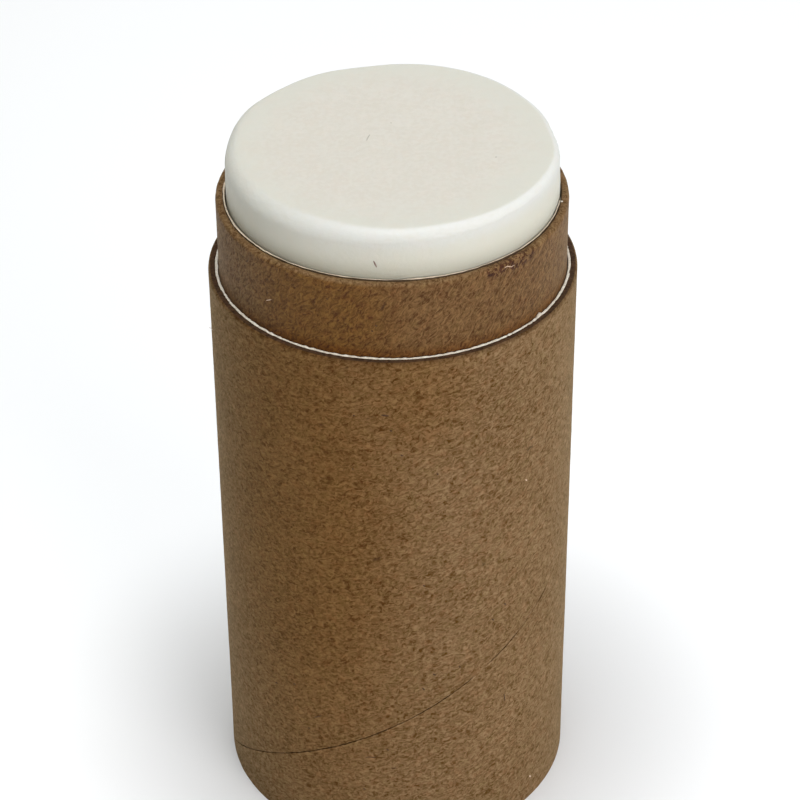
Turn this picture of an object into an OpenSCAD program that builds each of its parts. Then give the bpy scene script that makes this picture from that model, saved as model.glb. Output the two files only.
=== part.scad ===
// Paperboard push-up deodorant tube with its cap off and the stick raised.
// It stands on its open foot: +Z is up and the origin is the centre of the foot, sizes in millimetres.
// The plies are built outwards from the bore, so every tube follows the one that it is wound or glued on.

/* [Barrel] */
// Diameter of the lined bore that the stick and its carrier slide in
bore_d = 40.2; // [28:0.2:56]
// Thickness of the greaseproof ply in the bore
barrel_liner_t = 0.2; // [0.1:0.05:0.5]
// Board thickness of the inner tube
barrel_wall = 1.05; // [0.8:0.05:1.6]
// Height of bare neck above the sleeve, the seat of the cap
neck_h = 9.9; // [6:0.1:20]
// How far the bare neck is calibrated below the sleeve's bore, so that a cap slides on
neck_relief = 0.15; // [0.05:0.01:0.2]
// Height below the sleeve's rim over which that calibration runs out
relief_run = 1; // [0.6:0.1:3]
// Radius of the burnished outer edge of the neck
neck_edge_r = 0.5; // [0.2:0.05:0.55]
// Radius of the bead that the inner tube's foot is curled into
curl_r = 1.1; // [0.9:0.05:1.5]

/* [Sleeve] */
// Height of the sleeve
sleeve_h = 76.3; // [50:0.1:120]
// Thickness of the white ply that lines the sleeve
sleeve_liner_t = 0.25; // [0.15:0.05:0.6]
// Board thickness of the sleeve between its two facing plies
sleeve_wall = 0.65; // [0.5:0.05:1.5]
// Thickness of the kraft strip wound round the sleeve
wrap_t = 0.25; // [0.15:0.05:0.45]
// Radius of the pressed edge round the top of the sleeve
rim_edge_r = 0.4; // [0.1:0.05:0.45]

/* [Spiral seam] */
// Height that the kraft strip climbs in one turn, which is also how far apart its seam lies
strip_lead = 84.8; // [60:0.2:140]
// Height of the seam above the foot at the front
seam_z = 20.5; // [0:0.5:60]
// Width of the butt gap between the edges of the strip
seam_gap = 0.14; // [0.08:0.02:0.4]

/* [Stick] */
// Gap all round between the cast stick and the bore
stick_gap = 0.2; // [0.15:0.05:0.6]
// How far below the neck's rim the stick is filled when its carrier is at the foot
fill_gap = 3.9; // [1:0.1:15]
// Radius of the stick's worn top edge
stick_edge_r = 1.3; // [0.5:0.1:5]

/* [Push-up carrier] */
// Gap all round between the carrier and the bore
slide_gap = 0.08; // [0.05:0.01:0.1]
// Thickness of the board disc that carries the stick
disc_t = 2; // [1:0.1:4]
// Height of the board ring that keeps the disc square in the bore
ring_h = 6; // [3:0.5:12]
// Board thickness of that ring
ring_wall = 1.1; // [0.6:0.05:2]
// Clearance between the ring and the curled foot when the carrier is right down
seat_gap = 0.1; // [0.05:0.05:0.5]
// How far the carrier is pushed up from its seat
lift = 10.3; // [0:0.1:60]

/* [Hidden] */

$fn = 96;
past = 1; // how far a cutter reaches past what it cuts
slice_angle = 5; // turn of the seam between two of its slices, in degrees

bore_r = bore_d / 2;
barrel_in_r = bore_r + barrel_liner_t;
barrel_out_r = barrel_in_r + barrel_wall;
neck_r = barrel_out_r - neck_relief;
barrel_h = sleeve_h + neck_h;
glued_top = sleeve_h - relief_run;
curl_top = 2 * curl_r;

sleeve_core_r = barrel_out_r + sleeve_liner_t;
wrap_in_r = sleeve_core_r + sleeve_wall;
wrap_out_r = wrap_in_r + wrap_t;

seam_slope = atan(strip_lead / (2 * PI * wrap_out_r));
seam_across = seam_gap / sin(seam_slope); // the gap measured round the tube
seam_rise = sleeve_h + 2 * past;
seam_turn = 360 * seam_rise / strip_lead;
seam_start = -90 - 360 * (seam_z + past) / strip_lead; // the front of the tube is at -90 degrees

carrier_r = bore_r - slide_gap;
ring_z = curl_top + seat_gap + lift;
disc_z = ring_z + ring_h;
stick_z = disc_z + disc_t;
stick_r = bore_r - stick_gap;
stick_h = barrel_h - fill_gap - (stick_z - lift);

// A square-ended band from radius r0 to r1, in the plane that is revolved
module band(r0, r1, z0, z1) {
  translate([r0, z0]) square([r1 - r0, z1 - z0]);
}

// A band whose top outer corner is an arc of radius r
module edged_band(r0, r1, z0, z1, r) {
  band(r0, r1 - r, z0, z1);
  band(r0, r1, z0, z1 - r);
  intersection() {
    translate([r1 - r, z1 - r]) circle(r);
    band(r0, r1, z0, z1);
  }
}

// Wall of the whole sleeve, with its pressed edge, cut to the ply between two radii
module sleeve_ply(r0, r1) {
  rotate_extrude() intersection() {
    edged_band(barrel_out_r, wrap_out_r, 0, sleeve_h, rim_edge_r);
    band(r0, r1, 0, sleeve_h);
  }
}

// The gap that the strip's edges leave as they butt together on a helix
module butt_seam() {
  translate([0, 0, -past]) rotate([0, 0, seam_start])
    linear_extrude(seam_rise, twist = -seam_turn, slices = ceil(seam_turn / slice_angle), segments = 4)
      translate([wrap_in_r - wrap_t / 2, -seam_across / 2]) square([2 * wrap_t, seam_across]);
}

// Greaseproof ply that lines the bore, from the curled foot to the rim
module inner_liner() {
  color("#d9c4a0") rotate_extrude() band(bore_r, barrel_in_r, curl_top, barrel_h);
}

// Full-length kraft tube: curled in at the foot, glued in the sleeve and bare at the neck
module inner_tube() {
  color("#8a6540") rotate_extrude() {
    band(barrel_in_r, barrel_out_r, curl_r, glued_top);
    polygon([[barrel_in_r, glued_top], [barrel_out_r, glued_top], [neck_r, sleeve_h], [barrel_in_r, sleeve_h]]);
    edged_band(barrel_in_r, neck_r, sleeve_h, barrel_h, neck_edge_r);
    translate([barrel_out_r - curl_r, curl_r]) circle(curl_r);
  }
}

// White ply that lines the sleeve and shows as a bright line at its rim
module outer_liner() {
  color("#efe6d6") sleeve_ply(barrel_out_r, sleeve_core_r);
}

// Board of the sleeve, under the wound strip
module outer_tube() {
  color("#84603d") sleeve_ply(sleeve_core_r, wrap_in_r);
}

// Kraft strip wound round the board once on a helix, with its edges butted and its ends cut square
module outer_wrap() {
  color("#94704a") difference() {
    sleeve_ply(wrap_in_r, wrap_out_r);
    butt_seam();
  }
}

// Short board ring under the disc
module push_ring() {
  color("#8a6540") translate([0, 0, ring_z]) rotate_extrude()
    band(carrier_r - ring_wall, carrier_r, 0, ring_h);
}

// Board disc that the stick is cast on and the thumb pushes
module push_disc() {
  color("#9a764e") translate([0, 0, disc_z]) cylinder(h = disc_t, r = carrier_r);
}

// Cast stick: straight sides, a flat top and a soft worn edge between them
module deodorant_stick() {
  color("#ece6d6") translate([0, 0, stick_z]) rotate_extrude()
    edged_band(0, stick_r, 0, stick_h, stick_edge_r);
}

inner_liner();
inner_tube();
outer_liner();
outer_tube();
outer_wrap();
push_ring();
push_disc();
deodorant_stick();
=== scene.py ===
# Push-up deodorant tube in kraft board, standing open with its stick raised
import math

import bmesh
import bpy
from mathutils import Matrix, Vector, noise


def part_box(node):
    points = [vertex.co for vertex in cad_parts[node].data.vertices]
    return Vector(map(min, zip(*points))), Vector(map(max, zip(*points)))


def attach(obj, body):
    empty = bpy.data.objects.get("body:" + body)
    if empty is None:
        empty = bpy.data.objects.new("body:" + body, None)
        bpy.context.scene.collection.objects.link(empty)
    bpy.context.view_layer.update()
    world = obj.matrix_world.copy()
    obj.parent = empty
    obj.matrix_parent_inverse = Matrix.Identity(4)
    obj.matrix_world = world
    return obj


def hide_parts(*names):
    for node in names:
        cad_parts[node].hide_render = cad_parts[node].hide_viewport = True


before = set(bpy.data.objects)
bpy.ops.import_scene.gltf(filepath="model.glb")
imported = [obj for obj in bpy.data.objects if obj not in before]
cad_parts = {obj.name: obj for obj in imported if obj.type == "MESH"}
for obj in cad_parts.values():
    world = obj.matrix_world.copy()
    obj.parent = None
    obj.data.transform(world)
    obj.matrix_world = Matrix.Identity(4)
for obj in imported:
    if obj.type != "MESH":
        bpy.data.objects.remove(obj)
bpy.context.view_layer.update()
print("frame loaded:", len(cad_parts), "nodes")

mm = 0.001
imageSize = 800                    # pixels, the picture is square

# Camera: a long lens, looking down on the tube from the front
cameraSet = {
    "back": 283.06 * mm,           # from the tube's axis
    "height": 256.4 * mm,          # above the floor
    "pitch": 35.406,               # degrees down
    "yaw": 0.151,                  # degrees towards +X
    "roll": -0.44,
    "lens": 123.65,
    "sensor": 36,
    "clip": (0.01, 20),            # metres
}


def putIn(name, data):             # a new object in the scene
    thing = bpy.data.objects.new(name, data)
    bpy.context.scene.collection.objects.link(thing)
    return thing


def placeCamera():
    data = bpy.data.cameras.new("camera")
    data.sensor_width = cameraSet["sensor"]
    data.lens = cameraSet["lens"]
    data.clip_start, data.clip_end = cameraSet["clip"]
    cam = putIn("camera", data)
    turn = Matrix.Rotation(math.radians(-cameraSet["yaw"]), 4, "Z")
    tilt = Matrix.Rotation(math.radians(90 - cameraSet["pitch"]), 4, "X")
    roll = Matrix.Rotation(math.radians(cameraSet["roll"]), 4, "Z")
    place = Matrix.Translation((0, -cameraSet["back"], cameraSet["height"]))
    cam.matrix_world = place @ turn @ tilt @ roll
    bpy.context.scene.camera = cam
    return cam


camera = placeCamera()
print("camera placed")


def rayOf(pixel):                  # where a pixel looks, from the camera
    x = (pixel[0] / imageSize - 0.5) * cameraSet["sensor"]
    y = (0.5 - pixel[1] / imageSize) * cameraSet["sensor"]
    aim = camera.matrix_world.to_3x3() @ Vector((x, y, -cameraSet["lens"]))
    return camera.matrix_world.translation.copy(), aim.normalized()


def onWall(pixel, radius):         # the near side of a round wall about Z
    start, aim = rayOf(pixel)
    a = aim.x ** 2 + aim.y ** 2
    b = start.x * aim.x + start.y * aim.y
    c = start.x ** 2 + start.y ** 2 - radius ** 2
    return start + aim * ((-b - math.sqrt(max(b * b - a * c, 0))) / a)


def onLevel(pixel, height):
    start, aim = rayOf(pixel)
    return start + aim * ((height - start.z) / aim.z)


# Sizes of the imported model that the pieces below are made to
def outerRadius(node):
    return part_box(node)[1].x


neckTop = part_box("inner_tube")[1].z
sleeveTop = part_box("outer_tube")[1].z
wrapRadius = outerRadius("outer_wrap")
coreRadius = outerRadius("outer_tube")
whiteRadius = outerRadius("outer_liner")
boreRadius = 20.1 * mm             # inside of the bore's ply
linerRadius = outerRadius("inner_liner")
stickRadius = outerRadius("deodorant_stick")
stickFoot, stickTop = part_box("deodorant_stick")[0].z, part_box("deodorant_stick")[1].z


# Node helpers
def addNode(tree, kind, **settings):
    node = tree.nodes.new(kind)
    for key, value in settings.items():
        setattr(node, key, value)
    return node


def plug(tree, value, socket):     # by a link, or as a number
    if isinstance(value, bpy.types.NodeSocket):
        tree.links.new(value, socket)
    else:
        socket.default_value = value


def feed(tree, node, **sources):   # socket names with _ for a space
    for name, value in sources.items():
        plug(tree, value, node.inputs[name.replace("_", " ")])
    return node


def maths(tree, operation, *values):
    node = addNode(tree, "ShaderNodeMath", operation=operation)
    for value, socket in zip(values, node.inputs):
        plug(tree, value, socket)
    return node.outputs[0]


def times(tree, first, second):
    return maths(tree, "MULTIPLY", first, second)


def vectorMaths(tree, operation, first, second, out="Vector"):
    node = addNode(tree, "ShaderNodeVectorMath", operation=operation)
    plug(tree, first, node.inputs[0])
    plug(tree, second, node.inputs[1])
    return node.outputs[out]


def noiseAt(tree, vector, scale, detail=2.0, rough=0.5, out="Fac"):
    node = addNode(tree, "ShaderNodeTexNoise")
    feed(tree, node, Vector=vector, Scale=scale, Detail=detail, Roughness=rough)
    return node.outputs[out]


def rangeTo(tree, value, low, high, toLow=0.0, toHigh=1.0):
    node = addNode(tree, "ShaderNodeMapRange", interpolation_type="SMOOTHSTEP")
    feed(tree, node, Value=value, From_Min=low, From_Max=high, To_Min=toLow, To_Max=toHigh)
    return node.outputs[0]


def axisOf(tree, vector, which):   # 0, 1 or 2
    parts = addNode(tree, "ShaderNodeSeparateXYZ")
    feed(tree, parts, Vector=vector)
    return parts.outputs[which]


def turnVector(tree, vector, axis, angle):
    turned = addNode(tree, "ShaderNodeVectorRotate", rotation_type=axis + "_AXIS")
    feed(tree, turned, Vector=vector, Angle=angle)
    return turned.outputs[0]


def scaled(tree, vector, shares):
    return vectorMaths(tree, "MULTIPLY", vector, shares)


def toMillimetres(tree, vector):
    return scaled(tree, vector, (1000, 1000, 1000))


def nearSpot(tree, place, spot, reach, stretch=(1, 1, 1)):      # 1 near a spot in mm, 0 past its reach
    away = scaled(tree, vectorMaths(tree, "SUBTRACT", place, spot), stretch)
    return rangeTo(tree, vectorMaths(tree, "LENGTH", away, (0, 0, 0), "Value"), *reach, 1, 0)


def fibreLines(tree, vector, scale, wide):      # 1 along the lines where a noise is at its middle
    away = maths(tree, "ABSOLUTE", maths(tree, "SUBTRACT", noiseAt(tree, vector, scale, 1, 0.4), 0.5))
    return rangeTo(tree, away, 0.0, wide, 1, 0)


def mixColours(tree, factor, first, second, blend="MIX"):
    node = addNode(tree, "ShaderNodeMix", data_type="RGBA", blend_type=blend)
    plug(tree, factor, node.inputs[0])
    plug(tree, first, node.inputs[6])      # 6, 7 and output 2 are its colour sockets
    plug(tree, second, node.inputs[7])
    return node.outputs[2]


def tint(tree, colour, factor, tone):
    return mixColours(tree, factor, colour, tone, "MULTIPLY")


def attributeOf(tree, name):
    return addNode(tree, "ShaderNodeAttribute", attribute_name=name).outputs["Fac"]


def bumpOf(tree, height, relief):
    bump = addNode(tree, "ShaderNodeBump")
    feed(tree, bump, Height=height, Strength=1.0, Distance=relief)
    return bump.outputs[0]


def newGroup(name, inputs, outputs):
    tree = bpy.data.node_groups.new(name, "ShaderNodeTree")
    for label, kind, value in inputs:
        socket = tree.interface.new_socket(label, in_out="INPUT", socket_type="NodeSocket" + kind)
        if value is not None:
            socket.default_value = value
    for label, kind in outputs:
        tree.interface.new_socket(label, in_out="OUTPUT", socket_type="NodeSocket" + kind)
    return tree, addNode(tree, "NodeGroupInput").outputs, addNode(tree, "NodeGroupOutput")


# Paper wound on a tube: Vector comes in millimetres, with X along the fibres
paperSet = {
    "bend": (1.6, 1.6, 1.6),       # mm that the fibres wander
    "grainDrawn": (0.55, 1, 1),    # how far the grain, the fibres and the specks are drawn out
    "strandDrawn": (0.3, 1, 1),
    "speckDrawn": (0.4, 1, 1),
    "darkAside": (31, 17, 5),      # mm between the pattern of light fibres and that of dark ones
    "grainTone": 2.65, "cloudTone": 0.3, "lightTone": 0.34, "darkTone": -0.36,
    "warm": (1.12, 0.9, 0.82, 1),
    "cool": (0.93, 1.05, 0.85, 1),
    "speck": (0.3, 0.24, 0.2, 1),
}


def makePaperGroup():
    tree, given, result = newGroup(
        "woundPaper",
        (("Vector", "Vector", None),
         ("Dark", "Color", (0.06, 0.03, 0.01, 1)),
         ("Light", "Color", (0.2, 0.12, 0.05, 1)),
         ("Grain", "Float", 1.0),
         ("Strands", "Float", 1.0),
         ("Specks", "Float", 0.2),
         ("Patches", "Float", 1.0)),
        (("Color", "Color"), ("Height", "Float"), ("Roughness", "Float")))
    flat = given["Vector"]
    push = noiseAt(tree, flat, 0.8, 2, 0.6, "Color")
    push = vectorMaths(tree, "SUBTRACT", push, (0.5, 0.5, 0.5))
    wavy = vectorMaths(tree, "ADD", flat, scaled(tree, push, paperSet["bend"]))

    grainPlace = scaled(tree, wavy, paperSet["grainDrawn"])
    grain = maths(tree, "SUBTRACT", noiseAt(tree, grainPlace, 2.8, 3, 0.62), 0.5)
    strandPlace = scaled(tree, wavy, paperSet["strandDrawn"])
    lightLine = fibreLines(tree, strandPlace, 1.25, 0.045)
    darkPlace = vectorMaths(tree, "ADD", strandPlace, paperSet["darkAside"])
    darkLine = fibreLines(tree, darkPlace, 1.1, 0.05)
    broken = noiseAt(tree, vectorMaths(tree, "ADD", flat, (3, 9, 27)), 1.1, 1, 0.5)
    lightLine = times(tree, lightLine, rangeTo(tree, broken, 0.42, 0.6))
    darkLine = times(tree, darkLine, rangeTo(tree, broken, 0.58, 0.4))

    cell = addNode(tree, "ShaderNodeTexVoronoi")
    feed(tree, cell, Vector=scaled(tree, wavy, paperSet["speckDrawn"]), Scale=0.42)
    speckShape = rangeTo(tree, cell.outputs["Distance"], 0.05, 0.13, 1, 0)
    chosen = addNode(tree, "ShaderNodeSeparateColor")
    feed(tree, chosen, Color=cell.outputs["Color"])
    chosen = maths(tree, "LESS_THAN", chosen.outputs[0], given["Specks"])
    speck = times(tree, speckShape, chosen)

    cloud = maths(tree, "SUBTRACT", noiseAt(tree, flat, 0.09, 2, 0.5), 0.5)
    tone = 0.5
    for pattern, amount, share in ((grain, "Grain", "grainTone"), (cloud, "Grain", "cloudTone"),
                                   (lightLine, "Strands", "lightTone"), (darkLine, "Strands", "darkTone")):
        share = times(tree, given[amount], paperSet[share])
        tone = maths(tree, "MULTIPLY_ADD", pattern, share, tone)
    colour = mixColours(tree, tone, given["Dark"], given["Light"])

    patch = noiseAt(tree, vectorMaths(tree, "ADD", flat, (50, 0, 11)), 0.75, 2, 0.6)
    warm = times(tree, rangeTo(tree, patch, 0.5, 0.75), given["Patches"])
    cool = times(tree, rangeTo(tree, patch, 0.5, 0.25), given["Patches"])
    colour = tint(tree, colour, warm, paperSet["warm"])
    colour = tint(tree, colour, cool, paperSet["cool"])
    colour = tint(tree, colour, times(tree, speck, 0.8), paperSet["speck"])

    height = maths(tree, "MULTIPLY_ADD", lightLine, 0.3, times(tree, grain, 2.0))
    height = maths(tree, "MULTIPLY_ADD", darkLine, -0.35, height)
    height = maths(tree, "MULTIPLY_ADD", speck, -0.3, height)
    rough = maths(tree, "MULTIPLY_ADD", grain, -0.35, 0.72)
    feed(tree, result, Color=colour, Height=height, Roughness=rough)
    return tree


# A band that follows a rim: 1 at the height given, 0 past its width, with a wandering edge
def makeBandGroup():
    tree, given, result = newGroup(
        "rimBand",
        (("Vector", "Vector", None),
         ("Height", "Float", 0.0),
         ("Width", "Float", 1.0),
         ("Wander", "Float", 0.3)),
        (("Mask", "Float"),))
    away = maths(tree, "SUBTRACT", axisOf(tree, given["Vector"], 2), given["Height"])
    away = maths(tree, "ABSOLUTE", away)
    wander = maths(tree, "SUBTRACT", noiseAt(tree, given["Vector"], 0.45, 3, 0.6), 0.5)
    away = maths(tree, "MULTIPLY_ADD", wander, given["Wander"], away)
    share = maths(tree, "DIVIDE", away, given["Width"])
    feed(tree, result, Mask=rangeTo(tree, share, 0.0, 1.0, 1, 0))
    return tree


paperGroup = makePaperGroup()
bandGroup = makeBandGroup()
print("node groups made")


def newMaterial(name):
    made = bpy.data.materials.new(name)
    made.use_nodes = True
    tree = made.node_tree
    return made, tree, tree.nodes["Principled BSDF"]


def placeIn(tree):                 # object coordinates in millimetres
    return toMillimetres(tree, addNode(tree, "ShaderNodeTexCoord").outputs["Object"])


def woundPlace(tree, place, twist):      # lays a tube's own long fibres on a helix
    turned = turnVector(tree, place, "Z", times(tree, axisOf(tree, place, 2), twist))
    return turnVector(tree, turned, "Y", math.pi / 2)      # Z becomes the fibres' X


def paperNode(tree, vector, look):
    node = addNode(tree, "ShaderNodeGroup", node_tree=paperGroup)
    amounts = {name.title(): look[name] for name in ("grain", "strands", "specks", "patches")}
    return feed(tree, node, Vector=vector, Dark=(*look["dark"], 1), Light=(*look["light"], 1), **amounts)


def bandNode(tree, vector, height, width, wander):
    node = addNode(tree, "ShaderNodeGroup", node_tree=bandGroup)
    feed(tree, node, Vector=vector, Height=height / mm, Width=width / mm, Wander=wander / mm)
    return node.outputs["Mask"]


def finishPaper(tree, shader, colour, paper, look):
    feed(tree, shader, Base_Color=colour, Roughness=paper.outputs["Roughness"],
         Normal=bumpOf(tree, paper.outputs["Height"], look["relief"]),
         Specular_IOR_Level=look["gloss"], Sheen_Weight=look["fuzz"], Sheen_Roughness=0.5,
         Sheen_Tint=(*look.get("fuzzTone", (1, 1, 1)), 1))


def plainPaper(name, look):        # for the boards that lie inside or under
    made, tree, shader = newMaterial(name)
    paper = paperNode(tree, placeIn(tree), look)
    finishPaper(tree, shader, paper.outputs["Color"], paper, look)
    return made


# Mesh helpers
def newPiece(name, bm, material, body, sharp=40):
    mesh = bpy.data.meshes.new(name)
    bm.to_mesh(mesh)
    bm.free()
    mesh.materials.append(material)
    mesh.shade_smooth()
    mesh.set_sharp_from_angle(angle=math.radians(sharp))
    piece = putIn(name, mesh)
    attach(piece, body)
    return piece


def spinRound(bm, steps):          # turns the profile in the XZ plane into a closed ring
    bmesh.ops.spin(bm, geom=bm.verts[:] + bm.edges[:], cent=(0, 0, 0), axis=(0, 0, 1),
                   angle=math.tau, steps=steps, use_merge=True)
    bmesh.ops.remove_doubles(bm, verts=bm.verts, dist=0.0001 * mm)
    bmesh.ops.recalc_face_normals(bm, faces=bm.faces)


def profile(corners, closed=True):
    bm = bmesh.new()
    verts = [bm.verts.new((r, 0, z)) for r, z in corners]
    ends = verts[1:] + verts[:1] if closed else verts[1:]
    for a, b in zip(verts, ends):
        bm.edges.new((a, b))
    return bm


def roundCorner(bm, corner, radius, segments):
    spot = Vector((corner[0], 0, corner[1]))
    vert = min(bm.verts, key=lambda v: (v.co - spot).length)
    bmesh.ops.bevel(bm, geom=[vert], offset=radius, segments=segments, profile=0.5,
                    affect="VERTICES", material=-1)


def cutAt(bm, place, way, clear=False):      # may also drop what lies past the cut
    bmesh.ops.bisect_plane(bm, geom=bm.verts[:] + bm.edges[:] + bm.faces[:],
                           plane_co=place, plane_no=way, clear_outer=clear)


def cutRows(bm, heights):
    for z in heights:
        cutAt(bm, (0, 0, z), (0, 0, 1))


def smooth(value, low, high):      # from 0 at the low value to 1 at the high one
    share = min(max((value - low) / (high - low), 0), 1)
    return share * share * (3 - 2 * share)


def wobble(point, size, seed):     # noise from -1 to 1
    return noise.noise(point / size + Vector((seed, seed * 1.7, seed * 2.3)))


def ripple(point, *waves):         # each wave: how deep, how long, and its seed
    return sum(deep * wobble(point, long, seed) for deep, long, seed in waves)


def outward(point):                # the level way out from the tube's axis
    return Vector((point.x, point.y, 0)).normalized()


def bearing(point):                # degrees from the front, to the right
    return math.degrees(math.atan2(point.x, -point.y))


# Kraft strip wound round the sleeve, with its two edges butted on a helix
wrapSet = {
    "lead": 84.8 * mm,             # climb in one turn
    "seamAt": 20.5 * mm,           # height of the seam at the front
    "gap": 0.14 * mm,
    "step": 0.3 * mm,              # along the strip
    "edgeRows": (0.07, 0.2, 0.45, 0.9, 1.6),      # mm from each edge
    "row": 3 * mm,                 # between the rows across the strip
    "rimRows": (0.03, 0.08, 0.15, 0.25, 0.4, 0.6, 1.2),      # mm below the rim
    "rimRadius": 0.4 * mm,
    "jagged": 0.09 * mm,           # of the cut edges
    "tooth": 0.35 * mm,            # length of a tooth in them
    "edgeReach": 0.3 * mm,         # in from the edge over which that dies out
    # pixels along the seam, each with the share of the gap that is open there
    "opening": ((251, 750, 0.9), (353, 743, 1.1), (442, 700.5, 1.1), (472, 680, 0.9), (480, 673, 0.3),
                (489, 663, 0.3), (493, 660, 1), (511, 641, 1), (515, 637, 1.9), (521, 629, 1.8),
                (525, 624, 0.8), (534, 608, 0.9), (537, 603, 2), (540.5, 595, 1.9),
                (543, 588, 0.2)),
    "openingBehind": ((95, 0.2), (130, 0.8)),      # degrees, share of the gap
    "lip": 0.035 * mm,             # that the edges stand up by
    "lipReach": (0.5 * mm, 0.05 * mm),    # in from the edge: of that lip, and of its own rounded edge
    "lipWave": 1.4 * mm,           # length along the lip over which it comes and goes
    "lipHighlight": (1.3, 1.32, 1.4, 1),       # painted highlight along the raised edge below the seam, where it catches the light
    "lipHighlightFade": (0.4, 0.1),         # mm in from that edge over which the painted highlight comes up
    "wave": (0.02 * mm, 9 * mm),   # of the wall: how deep, and how long up it
    "rimPaintedLight": (0.64, 0.61, 0.6, 1),      # painted shade on the rounded rim just below the white line
    "rimBand": (0.55 * mm, 0.2 * mm),     # how wide that painted shade is, and how far its edge wanders
    "grainTurn": 12,               # degrees that the fibres lie off the strip's length
    # pixels in the middle of two browner stretches, how fast they fade each way, and their strength
    "tanSpots": (((300, 520), (1.9, 1.9, 0.55), 1), ((390, 390), (2.6, 2.6, 2.2), 0.72)),
    "tan": (0.84, 0.7, 0.45, 1),
    "tanReach": (8, 38),           # mm from there over which they fade
    "dark": (0.075, 0.0315, 0.0044),
    "light": (0.248, 0.154, 0.079),
    "grain": 0.95, "strands": 1.0, "specks": 0.16, "patches": 0.35,
    "relief": 0.00005, "gloss": 0.04, "fuzz": 0.145, "fuzzTone": (1, 0.79, 0.4),
}
stripSlope = math.atan(wrapSet["lead"] / (math.tau * wrapRadius))
stripWide = wrapSet["lead"] * math.cos(stripSlope)


def seamStops():                   # heights along the seam, each with its share of the gap
    stops = [(onWall((x, y), wrapRadius).z, share) for x, y, share in wrapSet["opening"]]
    return stops + [(wrapSet["seamAt"] + wrapSet["lead"] * turn / 360, share)
                    for turn, share in wrapSet["openingBehind"]]


def seamOpen(z, stops):
    share = stops[0][1]
    for (low, first), (high, second) in zip(stops, stops[1:]):
        share += (second - first) * smooth(z, low, high)
    return share * (1 + 0.6 * noise.noise(Vector((z / (0.9 * mm), 4.1, 0))))


def makeWrapMaterial():
    made, tree, shader = newMaterial("kraftWrap")
    strip = addNode(tree, "ShaderNodeUVMap", uv_map="strip")
    vector = toMillimetres(tree, strip.outputs[0])
    laid = turnVector(tree, vector, "Z", math.radians(wrapSet["grainTurn"]))
    paper = paperNode(tree, laid, wrapSet)
    place = placeIn(tree)
    colour = paper.outputs["Color"]
    tanned = []
    for pixel, stretch, strength in wrapSet["tanSpots"]:
        near = nearSpot(tree, place, onWall(pixel, wrapRadius) / mm, wrapSet["tanReach"], stretch)
        tanned.append(times(tree, near, strength))
    colour = tint(tree, colour, maths(tree, "MAXIMUM", *tanned), wrapSet["tan"])
    across = axisOf(tree, vector, 1)
    # painted highlight: the raised strip edge below the seam made lighter, as if it caught the light
    edge = rangeTo(tree, across, *(stripWide / mm - inside for inside in wrapSet["lipHighlightFade"]))
    edge = times(tree, edge, rangeTo(tree, noiseAt(tree, vector, 0.6, 2), 0.4, 0.65))
    colour = tint(tree, colour, edge, wrapSet["lipHighlight"])
    # painted shade: a darker band round the sleeve's rim, where its edge rounds away from the light
    rim = bandNode(tree, place, sleeveTop, *wrapSet["rimBand"])
    colour = tint(tree, colour, rim, wrapSet["rimPaintedLight"])
    finishPaper(tree, shader, colour, paper, wrapSet)
    return made


def flatStrip(thick):
    start = (-wrapSet["seamAt"] - stripWide * math.cos(stripSlope)) / math.sin(stripSlope)
    end = (sleeveTop - wrapSet["seamAt"]) / math.sin(stripSlope)
    long = end - start

    # X along the strip, Y across it
    bm = bmesh.new()
    bmesh.ops.create_grid(bm, x_segments=round(long / wrapSet["step"]), y_segments=1, size=0.5)
    bmesh.ops.scale(bm, vec=(long, stripWide, 1), verts=bm.verts)
    bmesh.ops.translate(bm, vec=(start + long / 2, stripWide / 2, 0), verts=bm.verts)
    rows = [m * mm for m in wrapSet["edgeRows"]] + [stripWide - m * mm for m in wrapSet["edgeRows"]]
    inner = round(stripWide / wrapSet["row"])
    rows += [stripWide * i / inner for i in range(1, inner)]
    for y in rows:
        cutAt(bm, (0, y, 0), (0, 1, 0))
    strip = bm.loops.layers.uv.new("strip")
    for face in bm.faces:
        for loop in face.loops:
            loop[strip].uv = (loop.vert.co.x, loop.vert.co.y)

    # laid at its angle, cut level at the foot and the rim
    bmesh.ops.rotate(bm, cent=(0, 0, 0), matrix=Matrix.Rotation(stripSlope, 3, "Z"), verts=bm.verts)
    bmesh.ops.translate(bm, vec=(0, wrapSet["seamAt"], 0), verts=bm.verts)
    for y, way in ((0, -1), (sleeveTop, 1)):
        cutAt(bm, (0, y, 0), (0, way, 0), clear=True)
    for m in wrapSet["rimRows"]:
        cutAt(bm, (0, sleeveTop - m * mm, 0), (0, 1, 0))
    bmesh.ops.recalc_face_normals(bm, faces=bm.faces)
    if bm.faces[:][0].normal.z < 0:
        bmesh.ops.reverse_faces(bm, faces=bm.faces)
    bmesh.ops.solidify(bm, geom=bm.faces[:], thickness=thick)
    return bm


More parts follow.
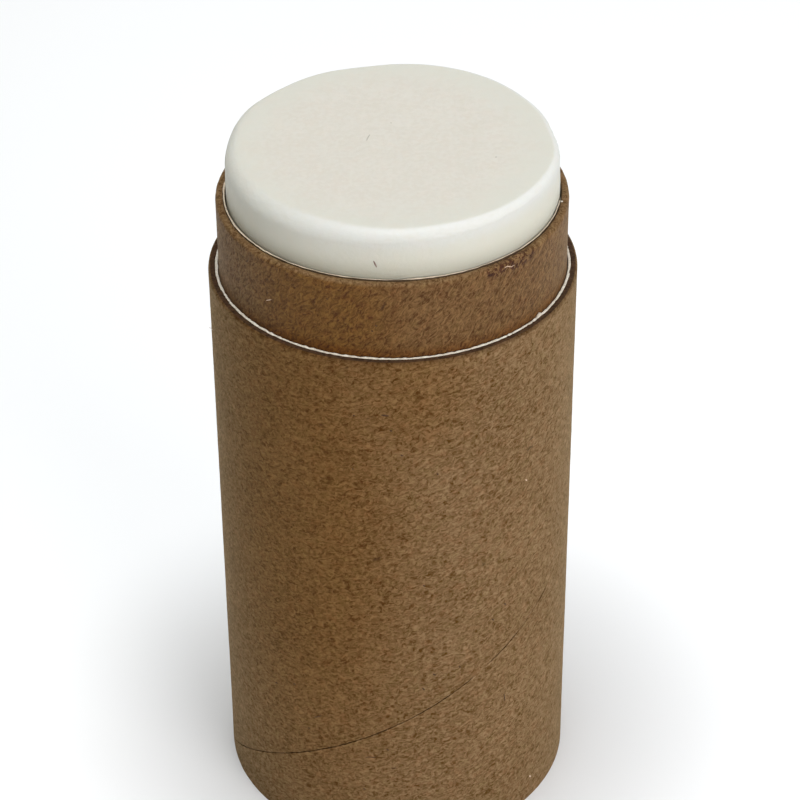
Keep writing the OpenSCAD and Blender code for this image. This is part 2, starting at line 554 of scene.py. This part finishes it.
def makeWrap():
    thick = wrapRadius - coreRadius
    bm = flatStrip(thick)
    outerZ = max(vert.co.z for vert in bm.verts)
    stops = seamStops()
    lengthWay = Vector((math.cos(stripSlope), math.sin(stripSlope)))
    acrossWay = Vector((-math.sin(stripSlope), math.cos(stripSlope)))
    lipReach, lipRound = wrapSet["lipReach"]
    deep, tall = wrapSet["wave"]

    # rolled on to the board, with the edges ragged, raised and pinched here and there
    for vert in bm.verts:
        flat = Vector((vert.co.x, vert.co.y - wrapSet["seamAt"]))
        across = flat.dot(acrossWay)
        fromEdge = max(min(across, stripWide - across), 0)
        side = 1 if across < stripWide / 2 else -1
        depth = outerZ - vert.co.z
        height = vert.co.y
        grainPoint = Vector((flat.dot(lengthWay), side * 9 * mm, 0))      # apart, so that the edges differ
        parted = seamOpen(height, stops) * math.exp(-fromEdge / wrapSet["edgeReach"])
        teeth = wrapSet["jagged"] * noise.noise(grainPoint / wrapSet["tooth"])
        shift = parted * (wrapSet["gap"] / 2 + teeth)
        flat += acrossWay * side * shift
        angle = flat.x / wrapRadius
        if 0 < height < sleeveTop:
            height = min(max(flat.y + wrapSet["seamAt"], 0), sleeveTop)
        radius = wrapRadius - depth
        if depth < thick / 2:
            lift = math.exp(-fromEdge / lipReach) - 0.9 * math.exp(-fromEdge / lipRound)
            radius += wrapSet["lip"] * lift * (0.55 + 0.8 * noise.noise(grainPoint / wrapSet["lipWave"]))
        turned = Vector((math.sin(angle), -math.cos(angle), 0))
        radius += deep * wobble(turned * 10 + Vector((0, 0, height / tall)), 1, 3)
        overRim = height - (sleeveTop - wrapSet["rimRadius"])
        if overRim > 0:
            arc = math.sqrt(max(wrapSet["rimRadius"] ** 2 - overRim ** 2, 0))
            radius = min(radius, wrapRadius - wrapSet["rimRadius"] + arc)
            radius = max(radius, wrapRadius - thick)
        vert.co = (turned.x * radius, turned.y * radius, height)
    bmesh.ops.triangulate(bm, faces=[f for f in bm.faces if len(f.verts) > 4])
    bmesh.ops.recalc_face_normals(bm, faces=bm.faces)
    piece = newPiece("sleeveWrap", bm, makeWrapMaterial(), "tube", 50)
    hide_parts("outer_wrap")


makeWrap()
print("wrap wound")


# Full-length inner tube: bare neck, curled foot
neckSet = {
    "steps": 480,
    "rows": 1.2 * mm,
    "radius": 21.2 * mm,           # of the bare neck
    "relief": 0.000045,
    "fullTo": 75.3 * mm,           # the tube is calibrated above this height
    "edge": 0.5 * mm,
    "innerEdge": 0.1 * mm,
    "curl": 1.1 * mm,
    "dark": (0.06, 0.0203, 0.0014),
    "light": (0.196, 0.104, 0.036),
    "grain": 1.08, "strands": 1.0, "specks": 0.22, "patches": 0.4,
    "gloss": 0.18, "fuzz": 0.11, "fuzzTone": (1, 0.8, 0.5),
    "tanAt": (320, 315),           # pixel in the middle of a browner stretch
    "tan": (0.95, 0.83, 0.43, 1),
    "tanReach": (4, 12.5),         # mm from there over which it fades
    "rimPaintedLight": (1.08, 1.2, 1.5, 1),       # painted sheen on the rim's rounded top, lighter and greyer like the sheen on the wall below
    "rimBand": (0.5 * mm, 0.2 * mm),      # how wide a band is, and how far its edge wanders; the rim's band is that painted sheen
    "scuffAt": (513, 259),         # pixel in the middle of the scuffs under the rim
    "scuffReach": (2.8, 4.4),      # mm
    "scuffDrop": 0.6 * mm,         # of the middle of their band below the rim
    "scuffBand": (1.2 * mm, 0.5 * mm),
    "scuff": (0.34, 0.17, 0.09, 1),
    "footShadeBand": (1.9 * mm, 1.0 * mm),    # painted shade where the neck goes into the sleeve
    # painted shade: darker and more saturated in that crevice
    "stain": (0.92, 0.72, 0.42, 1),
    "wave": (0.02 * mm, 6 * mm, 2),
    "rimWave": (0.035 * mm, 0.9 * mm, 5),
    "rimRise": (0.05 * mm, 2.5 * mm, 8),
    "curlSteps": 28,
    "twist": -0.022,               # radians of the fibres' turn in a millimetre of height
}


def makeNeckMaterial():
    made, tree, shader = newMaterial("neckBoard")
    place = placeIn(tree)
    wound = woundPlace(tree, place, neckSet["twist"])
    paper = paperNode(tree, wound, neckSet)
    colour = paper.outputs["Color"]
    tanMiddle, scuffMiddle = (onWall(neckSet[at], neckSet["radius"]) / mm for at in ("tanAt", "scuffAt"))
    tanned = nearSpot(tree, place, tanMiddle, neckSet["tanReach"])
    rim = bandNode(tree, place, neckTop, *neckSet["rimBand"])
    tanned = times(tree, tanned, maths(tree, "SUBTRACT", 1.0, rim))
    colour = tint(tree, colour, tanned, neckSet["tan"])
    # painted shade: the neck darker and more saturated just above the sleeve's rim, where it goes in
    foot = bandNode(tree, place, sleeveTop, *neckSet["footShadeBand"])
    colour = tint(tree, colour, foot, neckSet["stain"])
    # painted sheen: the rim's rounded top lightened and greyed to look like the sheen the wall gets
    colour = tint(tree, colour, rim, neckSet["rimPaintedLight"])
    scuffed = nearSpot(tree, place, scuffMiddle, neckSet["scuffReach"])
    under = bandNode(tree, place, neckTop - neckSet["scuffDrop"], *neckSet["scuffBand"])
    scuffed = times(tree, scuffed, under)
    broken = rangeTo(tree, noiseAt(tree, wound, 2.1, 2, 0.6), 0.46, 0.53)
    scuffed = times(tree, scuffed, broken)
    scuffed = maths(tree, "MINIMUM", times(tree, scuffed, 1.8), 1.0)
    colour = tint(tree, colour, scuffed, neckSet["scuff"])
    finishPaper(tree, shader, colour, paper, neckSet)
    return made


def makeNeck():
    outer = outerRadius("inner_tube")
    curl = neckSet["curl"]
    bm = profile([(linerRadius, 2 * curl), (linerRadius, neckTop), (neckSet["radius"], neckTop),
                  (neckSet["radius"], sleeveTop), (outer, neckSet["fullTo"]), (outer, curl)], closed=False)
    roundCorner(bm, (neckSet["radius"], neckTop), neckSet["edge"], 6)
    roundCorner(bm, (linerRadius, neckTop), neckSet["innerEdge"], 4)
    bm.verts.ensure_lookup_table()
    start = min(bm.verts, key=lambda v: (v.co - Vector((outer, 0, curl))).length)
    end = min(bm.verts, key=lambda v: (v.co - Vector((linerRadius, 0, 2 * curl))).length)
    swept = math.tau - math.acos((linerRadius - (outer - curl)) / curl)
    made = bmesh.ops.spin(bm, geom=[start], cent=(outer - curl, 0, curl), axis=(0, 1, 0),
                          angle=swept, steps=neckSet["curlSteps"])
    last = [v for v in made["geom_last"] if isinstance(v, bmesh.types.BMVert)][0]
    end.co = last.co
    bmesh.ops.remove_doubles(bm, verts=[end, last], dist=0.001 * mm)
    spinRound(bm, neckSet["steps"])
    rows = round((neckTop - sleeveTop) / neckSet["rows"])
    cutRows(bm, [sleeveTop + (neckTop - sleeveTop) * i / rows for i in range(1, rows)])
    for vert in bm.verts:
        if vert.co.z > sleeveTop - 2 * mm:
            near = smooth(vert.co.z, neckTop - 1.5 * mm, neckTop)
            amount = ripple(vert.co, neckSet["wave"]) + near * ripple(vert.co, neckSet["rimWave"])
            vert.co += outward(vert.co) * amount
            atRim = smooth(vert.co.z, neckTop - 0.8 * mm, neckTop)
            vert.co.z += atRim * ripple(vert.co, neckSet["rimRise"])
    piece = newPiece("neckTube", bm, makeNeckMaterial(), "tube")
    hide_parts("inner_tube")


makeNeck()
print("neck made")

# White ply that lines the sleeve: its cut edge is the bright line at the rim
whiteSet = {
    "steps": 900,
    "proud": 0.05 * mm,            # above the board's rim
    "corner": 0.06 * mm,           # radius of its two upper corners
    "ragged": ((0.11 * mm, 0.5 * mm, 1), (0.066 * mm, 1.9 * mm, 4)),
    "folded": 0.07 * mm,           # over the inner corner of the board
    "foldWave": (0.056 * mm, 1.3 * mm, 11),
    "wave": (0.018 * mm, 0.7 * mm, 6),
    "tufts": ((539, 315, 1.1), (213, 268, 1.8)),      # pixels of the torn tufts, and their widths in degrees
    "tuftIn": (0.08 * mm, 0.024 * mm),    # that a tuft draws its inner and its outer side in
    "tuftUp": 0.22 * mm,
    "dark": (0.55, 0.47, 0.36),
    "light": (0.95, 0.9, 0.8),
    "grain": 0.7, "strands": 0.4, "specks": 0.03, "patches": 0.2, "relief": 0.00003, "gloss": 0.2, "fuzz": 0,
}


def makeWhitePly():
    inner = outerRadius("inner_tube")
    bm = profile([(inner, 0), (whiteRadius, 0), (whiteRadius, sleeveTop), (inner, sleeveTop)])
    for radius in (whiteRadius, inner):
        roundCorner(bm, (radius, sleeveTop), whiteSet["corner"], 2)
    spinRound(bm, whiteSet["steps"])
    cutRows(bm, [sleeveTop - 0.5 * mm])
    tufts = [(bearing(onWall((x, y), inner)), wide) for x, y, wide in whiteSet["tufts"]]
    for vert in bm.verts:
        top = smooth(vert.co.z, sleeveTop - 0.45 * mm, sleeveTop - 0.02 * mm)
        if top > 0:
            out = outward(vert.co)
            torn = max(math.exp(-((bearing(vert.co) - turn) / wide) ** 2) for turn, wide in tufts)
            rough = ripple(vert.co, *whiteSet["ragged"])
            within = math.hypot(vert.co.x, vert.co.y) < (inner + whiteRadius) / 2
            over = 0 if within else whiteSet["folded"] + ripple(vert.co, whiteSet["foldWave"])
            over -= torn * whiteSet["tuftIn"][0 if within else 1]
            vert.co += out * (over + ripple(vert.co, whiteSet["wave"])) * top
            vert.co.z += top * (whiteSet["proud"] + rough + whiteSet["tuftUp"] * torn)
    piece = newPiece("whiteLiner", bm, plainPaper("whitePly", whiteSet), "tube")
    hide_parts("outer_liner")


makeWhitePly()

# Greaseproof ply in the bore, its edge a little proud at the left and tucked down at the right
boreSet = {
    "steps": 720,
    "proud": 0.1 * mm,
    "lean": (0.02, 0.06, 0.03),    # mm that its edge leans in: at the left, the front and the right
    "thick": (0.19, 0.13, 0.13),   # mm of that edge in the same places
    "blend": ((25, 75), (15, 60)),        # degrees to the left and the right over which these change
    "most": 0.06 * mm,             # that it may lean, so that the carrier passes it
    "looseWaves": ((0.03 * mm, 3 * mm, 3), (0.03 * mm, 0.7 * mm, 13)),
    "thickWaves": ((0.06 * mm, 1.1 * mm, 17), (0.05 * mm, 4 * mm, 19)),
    "rise": (0.05 * mm, 0.8 * mm, 9),
    # pixels, degrees that they spread over, and mm that the edge is thicker
    "folds": ((344, 274, 2, 0.06), (397, 279, 2.4, -0.1), (417, 278, 2.4, 0.17), (432, 276, 1.5, 0.1)),
    "tuckedFrom": (562, 201),      # pixel past which its edge is tucked down
    "tuck": 1.4 * mm,
    "tuckOver": 4,                 # degrees over which it goes down
    "tuckedTo": (120, 140),        # and those over which it comes up again
    "back": (0.1, 0.062, 0.034, 1),       # brown glue on its back
    "dark": (0.5, 0.4, 0.29),
    "light": (0.8, 0.69, 0.55),
    "grain": 0.6, "strands": 0.3, "specks": 0.04, "patches": 0.3, "relief": 0.00002, "gloss": 0.3,
    "fuzz": 0,
}


def makeBoreMaterial():
    made, tree, shader = newMaterial("greaseproofPly")
    paper = paperNode(tree, placeIn(tree), boreSet)
    colour = mixColours(tree, attributeOf(tree, "glued"), paper.outputs["Color"], boreSet["back"])
    finishPaper(tree, shader, colour, paper, boreSet)
    return made


def roundTheBore(values, turn):    # left, front and right values, blended by the bearing
    left, front, right = values
    toLeft, toRight = boreSet["blend"]
    return front + (left - front) * smooth(-turn, *toLeft) + (right - front) * smooth(turn, *toRight)


def makeBorePly():
    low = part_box("inner_liner")[0].z
    bm = profile([(boreRadius, low), (linerRadius, low), (linerRadius, neckTop), (boreRadius, neckTop)])
    spinRound(bm, boreSet["steps"])
    cutRows(bm, [neckTop - 2 * mm, neckTop - 0.4 * mm, neckTop - 0.03 * mm])
    folds = [(bearing(onLevel((x, y), neckTop)), wide, more) for x, y, wide, more in boreSet["folds"]]
    tucked = bearing(onLevel(boreSet["tuckedFrom"], neckTop))
    glued = bm.verts.layers.float.new("glued")
    for vert in bm.verts:
        out = outward(vert.co)
        turn = bearing(vert.co)
        outer = vert.co.dot(out) > (boreRadius + linerRadius) / 2
        vert[glued] = 1 if outer and vert.co.z < neckTop - 0.01 * mm else 0
        down = boreSet["tuck"] * smooth(turn, tucked, tucked + boreSet["tuckOver"])
        down *= 1 - smooth(turn, *boreSet["tuckedTo"])
        if vert.co.z > neckTop - 0.1 * mm:
            folded = sum(more * math.exp(-((turn - fold) / wide) ** 2) for fold, wide, more in folds)
            loose = ripple(vert.co, *boreSet["looseWaves"])
            radius = boreRadius - roundTheBore(boreSet["lean"], turn) * mm
            if outer:
                radius += (roundTheBore(boreSet["thick"], turn) + folded) * mm
                radius += ripple(vert.co, *boreSet["thickWaves"])
            radius = max(radius + loose, boreRadius - boreSet["most"])
            vert.co = out * radius + Vector((0, 0, vert.co.z))
            vert.co.z += boreSet["proud"] + ripple(vert.co, boreSet["rise"]) + 0.5 * folded * mm
        if vert.co.z > neckTop - 1 * mm:
            vert.co.z -= down
    piece = newPiece("borePly", bm, makeBoreMaterial(), "tube")
    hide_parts("inner_liner")


makeBorePly()
print("plies made")

# Cast stick: waxy, with a soft edge that is worn wider at the left
stickSet = {
    "steps": 288,
    "edge": 1.3 * mm,
    "tight": 0.72,                 # share of that edge round the back and the right
    "wider": 0.95,                 # and the share more where it is worn widest
    "widest": (-45, 55),           # degrees: there, and how far it spreads
    "slant": (0.12 * mm, 0.3 * mm),       # that the top rises to the right, and to the back
    "margin": (0.2 * mm, 0.35 * mm),      # that the edge lies past the outline, and less of it at the back
    "corners": ((224, 150), (238, 115), (261, 97), (312, 74), (353, 68), (417, 63), (455, 67), (478, 72),
                (509, 87), (543, 114), (553.5, 144), (561, 170)),      # pixels round the worn back edge
    "around": (-9, -6, -3, 0, 3, 6, 9),   # degrees over which that outline is evened out
    "deepest": 1.2 * mm,           # that it may lie inside the round
    "colour": (0.566, 0.53, 0.46, 1),
    "pale": (0.594, 0.564, 0.499, 1),
    "ring": (0.572, 0.563, 0.493, 1),     # cooler towards the edge
    "blush": (1.012, 0.996, 0.994, 1),    # faint pinkish clouds
    "ringReach": (15, 23),         # mm from the axis
    # painted shade: the side, out of the top lamp's light, a touch warmer and darker than the top
    "side": (1.0, 0.985, 0.94, 1),
    "sideShadeUnder": (3, 1.2),         # mm below the top over which that painted shade tone begins
    # painted highlight on the stick's rounded edge, whiter and bluer, reaching a little down the side
    "crestHighlight": (1.07, 1.09, 1.18, 1),
    "crestFade": 4.2 * mm,         # of that painted highlight, down the side
    "crestRows": (0.1, 0.25, 0.4, 0.55, 0.7, 0.85, 1),    # shares of that
    "rimShade": (0.82, 0.82, 0.81, 1),     # painted shade on the side just above the tube's rim, where the rim cuts off the floor's light; it rides with the stick
    "rimBand": (2.8 * mm, 0.2 * mm),
    "bulge": 0.19 * mm,            # of the right side above the rim
    "topWaves": ((0.05 * mm, 9 * mm, 5), (0.015 * mm, 2.5 * mm, 7)),
    "sideWave": (0.02 * mm, 5 * mm, 6),
    "rough": 0.5, "gloss": 0.35, "relief": 0.00006,
    "waxy": 0.35,                  # share of the light that goes in
    "redFirst": (1.0, 0.9, 0.7),   # how far its colours go, in millimetres
}


def makeStickMaterial():
    made, tree, shader = newMaterial("castStick")
    place = placeIn(tree)
    cloud = noiseAt(tree, place, 0.3, 3, 0.55)
    fine = noiseAt(tree, place, 1.6, 4, 0.65)
    smear = noiseAt(tree, scaled(tree, place, (0.35, 1, 1)), 1.2, 3, 0.65)
    tone = maths(tree, "MULTIPLY_ADD", fine, 0.8, times(tree, cloud, 0.2))
    colour = mixColours(tree, rangeTo(tree, tone, 0.38, 0.62), stickSet["colour"], stickSet["pale"])
    radial = vectorMaths(tree, "LENGTH", scaled(tree, place, (1, 1, 0)), (0, 0, 0), "Value")
    radial = maths(tree, "MULTIPLY_ADD", cloud, 5, radial)
    colour = mixColours(tree, rangeTo(tree, radial, *stickSet["ringReach"]), colour, stickSet["ring"])
    # painted shade tone on the side below the top
    under = (stickTop / mm - below for below in stickSet["sideShadeUnder"])
    aside = rangeTo(tree, axisOf(tree, place, 2), *under, 1, 0)
    colour = tint(tree, colour, aside, stickSet["side"])
    # painted shade: the side greyer just above the tube's rim
    rimShaded = bandNode(tree, place, neckTop, *stickSet["rimBand"])
    colour = tint(tree, colour, rimShaded, stickSet["rimShade"])
    pink = rangeTo(tree, noiseAt(tree, place, 0.7, 2, 0.6), 0.42, 0.68)
    colour = tint(tree, colour, pink, stickSet["blush"])
    # painted highlight on the rounded edge, strongest where it faces the lamps
    crestHighlight = times(tree, attributeOf(tree, "crestHighlight"), rangeTo(tree, fine, 0.2, 0.6, 0.7, 1))
    colour = tint(tree, colour, crestHighlight, stickSet["crestHighlight"])
    pit = addNode(tree, "ShaderNodeTexVoronoi")
    feed(tree, pit, Vector=place, Scale=0.8)
    pits = rangeTo(tree, pit.outputs["Distance"], 0.03, 0.12, 1, 0)
    height = maths(tree, "MULTIPLY_ADD", smear, 0.7, times(tree, fine, 0.8))
    height = maths(tree, "MULTIPLY_ADD", pits, -0.12, height)
    rough = rangeTo(tree, fine, 0.3, 0.7, stickSet["rough"] - 0.06, stickSet["rough"] + 0.1)
    feed(tree, shader, Base_Color=colour, Roughness=rough, Normal=bumpOf(tree, height, stickSet["relief"]),
         Specular_IOR_Level=stickSet["gloss"], Subsurface_Weight=stickSet["waxy"], Subsurface_Scale=mm,
         Subsurface_Radius=stickSet["redFirst"])
    return made


def reachOf(corners, out):         # where a ray from the axis meets the outline through the corners
    for one, other in zip(corners, corners[1:]):
        if one.cross(out) * out.cross(other) >= 0 and out.dot(one + other) > 0:
            along = other - one
            past = stickSet["margin"][0] - stickSet["margin"][1] * max(out.normalized().y, 0) ** 2
            reach = one.cross(along) / out.cross(along) + past
            return min(max(reach, stickRadius - stickSet["deepest"]), stickRadius)
    return stickRadius


def wornRadius(corners, out):      # the mean over a few degrees either side, so that no corner shows
    turns = [Matrix.Rotation(math.radians(turn), 2) @ out for turn in stickSet["around"]]
    return sum(reachOf(corners, turned) if turned.y > 0 else stickRadius for turned in turns) / len(turns)


def makeStick():
    edge = stickSet["edge"]
    corners = [onLevel(pixel, stickTop - 0.2 * mm).xy for pixel in stickSet["corners"]]
    bm = profile([(0, stickFoot), (stickRadius, stickFoot), (stickRadius, stickTop), (0, stickTop)],
                 closed=False)
    roundCorner(bm, (stickRadius, stickTop), edge, 10)
    for one in bm.edges[:]:
        a, b = (v.co for v in one.verts)
        if a.z > stickTop - 0.01 * mm and b.z > stickTop - 0.01 * mm:
            bmesh.ops.subdivide_edges(bm, edges=[one], cuts=24)
        elif abs(a.x - b.x) < 0.01 * mm and abs(a.z - b.z) > 10 * mm:
            bmesh.ops.subdivide_edges(bm, edges=[one], cuts=40)
    spinRound(bm, stickSet["steps"])
    cutRows(bm, [stickTop - edge - stickSet["crestFade"] * share for share in stickSet["crestRows"]])
    cutRows(bm, [neckTop + 0.15 * rise * mm for rise in range(-1, 4)])
    crestHighlight = bm.verts.layers.float.new("crestHighlight")
    for vert in bm.verts:
        radial = math.hypot(vert.co.x, vert.co.y)
        if vert.co.z < stickTop - 20 * mm or radial < 0.01 * mm:
            continue
        out = Vector((vert.co.x, vert.co.y, 0)) / radial
        turn = bearing(vert.co)
        left = math.exp(-((turn - stickSet["widest"][0]) / stickSet["widest"][1]) ** 2)
        soft = edge * (stickSet["tight"] + stickSet["wider"] * left + 0.1 * wobble(out * 30, 12, 2))
        # share of the painted highlight by bearing: most from the front round to the right, toward the lamps
        facing = 0.3 + 0.7 * smooth(turn, -75, -5) * (1 - 0.15 * smooth(turn, 55, 85))
        fromCorner = Vector((radial - (stickRadius - edge), vert.co.z - (stickTop - edge)))
        if fromCorner.x > 0 and fromCorner.y > 0:
            spot = fromCorner * (soft / edge)
            radial, height = stickRadius - soft + spot.x, stickTop - soft + spot.y
            tilt = math.degrees(math.atan2(fromCorner.x, fromCorner.y))      # 0 on top, 90 at the side
            vert[crestHighlight] = facing * smooth(tilt, 0, 22) * (1 - 0.15 * smooth(tilt, 35, 85))
        elif fromCorner.y > 0:
            radial, height = radial * (stickRadius - soft) / (stickRadius - edge), vert.co.z
        else:
            top = smooth(vert.co.z, stickTop - 12 * mm, stickTop - edge)
            height = vert.co.z - (soft - edge) * top
            fade = smooth(vert.co.z, stickTop - edge - stickSet["crestFade"], stickTop - edge)
            vert[crestHighlight] = 0.95 * facing * fade * (1 - 0.5 * smooth(turn, 25, 60))
        up = smooth(height, stickTop - 3 * mm, stickTop)
        worn = wornRadius(corners, out.xy)
        radial *= 1 - (1 - worn / stickRadius) * smooth(height, stickTop - 5 * mm, stickTop - 1 * mm)
        right = smooth(turn, 40, 85) * (1 - smooth(turn, 100, 150))
        radial += stickSet["bulge"] * right * smooth(height, neckTop - 0.1 * mm, neckTop + 0.5 * mm)
        vert.co = out * radial + Vector((0, 0, height))
        vert.co.z += up * (stickSet["slant"][0] * vert.co.x + stickSet["slant"][1] * vert.co.y) / stickRadius
        vert.co.z += up * ripple(vert.co, *stickSet["topWaves"])
        vert.co += out * ripple(vert.co, stickSet["sideWave"])
    piece = newPiece("castStick", bm, makeStickMaterial(), "carrier", 60)
    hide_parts("deodorant_stick")


makeStick()
print("stick cast")

# Small things in the paper and the stick: slim closed lenses laid along strokes of pixels
markSet = {
    # pixels of each stroke, and its width in mm
    "specks": (((381, 415), (389, 416), 0.26), ((436.8, 473.6), (438.4, 474.6), 0.22),
               ((352, 468.4), (353.6, 469.4), 0.2), ((353, 415.2), (355, 416), 0.2),
               ((390, 430), (392, 431.6), 0.25), ((400.4, 455), (403.4, 456), 0.22),
               ((423, 585), (425.2, 586.6), 0.2), ((492, 619), (494, 620.2), 0.2),
               ((504, 603.4), (506.2, 604.6), 0.2), ((432.8, 673.8), (435.8, 675.2), 0.22),
               ((422.4, 688), (424.6, 690), 0.2), ((386.4, 749), (389, 750.4), 0.2),
               ((459, 666), (460.6, 667.6), 0.18), ((504.2, 693.6), (504.8, 701), 0.15),
               ((275.4, 682), (277.8, 683.6), 0.2), ((293.4, 683.4), (295.6, 684.6), 0.2),
               ((308, 727.4), (310.2, 728.6), 0.2), ((363.4, 788.4), (365.8, 789.6), 0.2),
               ((365.5, 758), (369, 756.6), (373, 757.8), (377.5, 756.4), 0.13),
               ((314, 717.6), (322, 715.4), 0.13), ((375, 325), (377.2, 326.4), 0.2),
               ((371, 330.4), (373.2, 331.6), 0.2), ((266.6, 279.2), (268.6, 280.2), 0.18),
               ((326, 298.4), (328, 299.2), 0.18)),
    "fibres": (((504.5, 268), (508, 265.8), (511, 267.3), (515, 264.5), 0.12),
               ((266, 300.5), (271.5, 299.5), 0.13), ((213.5, 330.5), (211.5, 328.5), (209, 327.5), 0.08),
               ((529, 775.6), (531, 776.6), 0.22), ((525.4, 479.4), (527, 480.6), 0.2),
               ((535, 318), (538, 314), (543, 315.5), 0.12)),
    "flakes": (((560.8, 202), (562.6, 200.8), 0.34),),
    "stains": (((373.4, 260.6), (375, 264), (376.8, 267.6), 0.2),),
    "pits": (((495.4, 156.6), (496.8, 157.4), 0.26), ((390.4, 122.6), (391.8, 123.2), 0.2),
             ((366.4, 141), (368, 137.4), (370, 134.2), 0.16)),
    "stations": 9,                 # along a stroke
    "thick": 0.05,                 # mm
    "tones": {"specks": ((0.03, 0.013, 0.005), (0.07, 0.034, 0.014)),
              "fibres": ((0.42, 0.28, 0.18), (0.62, 0.46, 0.34)),
              "flakes": ((0.6, 0.54, 0.45), (0.85, 0.8, 0.72)),
              "stains": ((0.2, 0.13, 0.11), (0.3, 0.22, 0.19)),
              "pits": ((0.4, 0.37, 0.3), (0.47, 0.44, 0.38))},
}


def makeMarkMaterial(kind):
    made, tree, shader = newMaterial(kind + "Tone")
    dark, light = markSet["tones"][kind]
    mottle = rangeTo(tree, noiseAt(tree, placeIn(tree), 3.5, 2, 0.6), 0.35, 0.65)
    colour = mixColours(tree, mottle, (*dark, 1), (*light, 1))
    rough = rangeTo(tree, mottle, 0, 1, 0.75, 0.6)
    feed(tree, shader, Base_Color=colour, Roughness=rough, Specular_IOR_Level=0.2)
    return made


def strikeOn(pixel, carriers):     # where the pixel's ray first meets one of the pieces, and which way is out
    start, aim = rayOf(pixel)
    hits = [carrier.ray_cast(start, aim) for carrier in carriers]
    found = [(place, way) for hit, place, way, _ in hits if hit]
    if found:
        return min(found, key=lambda spot: (spot[0] - start).length)
    place = onWall(pixel, wrapRadius)      # off the outline, level with the wall
    return place, outward(place)


def between(rows, share):          # the point that share of the way along a list of them
    along = share * (len(rows) - 1)
    first = min(int(along), len(rows) - 2)
    return Vector(rows[first]).lerp(Vector(rows[first + 1]), along - first)


def layStroke(bm, pixels, wide, carriers):
    count = markSet["stations"]
    spots = [strikeOn(between(pixels, i / (count - 1)), carriers) for i in range(count)]
    places, ways = zip(*spots)
    lens = bmesh.ops.create_uvsphere(bm, u_segments=8, v_segments=8, radius=1)
    whole = (places[-1] - places[0]).normalized()
    for vert in lens["verts"]:
        share = (vert.co.z + 1) / 2
        place, way = between(places, share), between(ways, share).normalized()
        aside = way.cross(whole).normalized()
        vert.co = place + aside * vert.co.x * wide * mm / 2 + way * vert.co.y * markSet["thick"] * mm / 2


def makeMarks(name, kind, carrierNames, body):
    bm = bmesh.new()
    carriers = [bpy.data.objects[carrier] for carrier in carrierNames]
    for *pixels, wide in markSet[kind]:
        layStroke(bm, pixels, wide, carriers)
    bmesh.ops.recalc_face_normals(bm, faces=bm.faces)
    newPiece(name, bm, makeMarkMaterial(kind), body)


bpy.context.view_layer.update()
makeMarks("paperSpecks", "specks", ("sleeveWrap", "neckTube"), "tube")
makeMarks("tornFibres", "fibres", ("sleeveWrap", "neckTube", "whiteLiner", "borePly"), "tube")
makeMarks("plyFlake", "flakes", ("whiteLiner", "borePly", "neckTube"), "tube")
makeMarks("stickStains", "stains", ("castStick",), "carrier")
makeMarks("stickPits", "pits", ("castStick",), "carrier")
print("marks laid")

# Boards that keep their imported shape
# painted shade: the core board, seen only at its rim between the white line and the wrap, is near black for
# that rim's shaded edge
coreShadeSet = {"dark": (0.022, 0.009, 0.003), "light": (0.085, 0.042, 0.018), "grain": 1.0, "strands": 0.5,
           "specks": 0.1, "patches": 0.6, "relief": 0.00004, "gloss": 0.1, "fuzz": 0.05}
carrierSet = {"dark": (0.08, 0.04, 0.012), "light": (0.25, 0.15, 0.06), "grain": 0.9, "strands": 0.9,
              "specks": 0.15, "patches": 0.6, "relief": 0.00005, "gloss": 0.12, "fuzz": 0.1}
for nodeName, board in (("outer_tube", plainPaper("coreBoardShade", coreShadeSet)),
                        ("push_ring", plainPaper("ringBoard", carrierSet)),
                        ("push_disc", plainPaper("discBoard", carrierSet))):
    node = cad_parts[nodeName]
    node.data.materials.clear()
    node.data.materials.append(board)
print("boards covered")

# Lights and floor
lightSet = {
    "world": 0.2,
    "floor": 0.95,
    "worldTone": (1, 0.97, 0.82, 1),
    "floorShade": 0.825,            # painted shadow: a touch greyer round the tube's foot
    "floorShadeReach": (26, 56),        # mm over which that painted shadow pales
    "floorShadeMiddle": (4, 3, 0),      # mm
    "floorHalf": 3,                # metres from its middle to its edges
    "aim": (0, 0, 0.05),           # metres, where the lamps point
    "lamps": (("top", (0, -0.03, 0.94), 0.6, 7.9, (0.97, 1, 1.04)),
              ("back", (0.1, 0.85, 0.4), 0.6, 0.4, (1, 1, 1.1)),
              ("frontRight", (0.505, -0.721, 0.227), 0.6, 4.8, (1, 0.98, 0.98)),
              ("right", (0.867, -0.153, 0.227), 0.6, 1.0, (0.85, 1, 1.25))),
}


def makeFloor():
    bm = bmesh.new()
    bmesh.ops.create_grid(bm, x_segments=1, y_segments=1, size=lightSet["floorHalf"])
    mesh = bpy.data.meshes.new("floor")
    bm.to_mesh(mesh)
    bm.free()
    floor = putIn("floor", mesh)
    made, tree, shader = newMaterial("floorPaper")
    # painted shadow: the floor greyer round the tube's foot, paling outward
    near = nearSpot(tree, placeIn(tree), lightSet["floorShadeMiddle"], lightSet["floorShadeReach"])
    shade = maths(tree, "MULTIPLY_ADD", near, lightSet["floorShade"] - lightSet["floor"], lightSet["floor"])
    feed(tree, shader, Base_Color=shade, Roughness=0.9, Specular_IOR_Level=0.1)
    mesh.materials.append(made)


def areaLight(name, place, size, power, tone):
    data = bpy.data.lights.new(name, "AREA")
    data.shape = "DISK"
    data.size = size
    data.energy = power
    data.color = tone
    lamp = putIn(name, data)
    lamp.location = place
    lamp.visible_camera = False
    lamp.rotation_mode = "QUATERNION"
    lamp.rotation_quaternion = (Vector(lightSet["aim"]) - Vector(place)).to_track_quat("-Z", "Y")


makeFloor()
for lamp in lightSet["lamps"]:
    areaLight(*lamp)
world = bpy.data.worlds.new("studio")
world.use_nodes = True
sky = world.node_tree.nodes["Background"]
feed(world.node_tree, sky, Color=lightSet["worldTone"], Strength=lightSet["world"])
bpy.context.scene.world = world
bpy.context.scene.view_settings.view_transform = "Standard"
print("stage set")
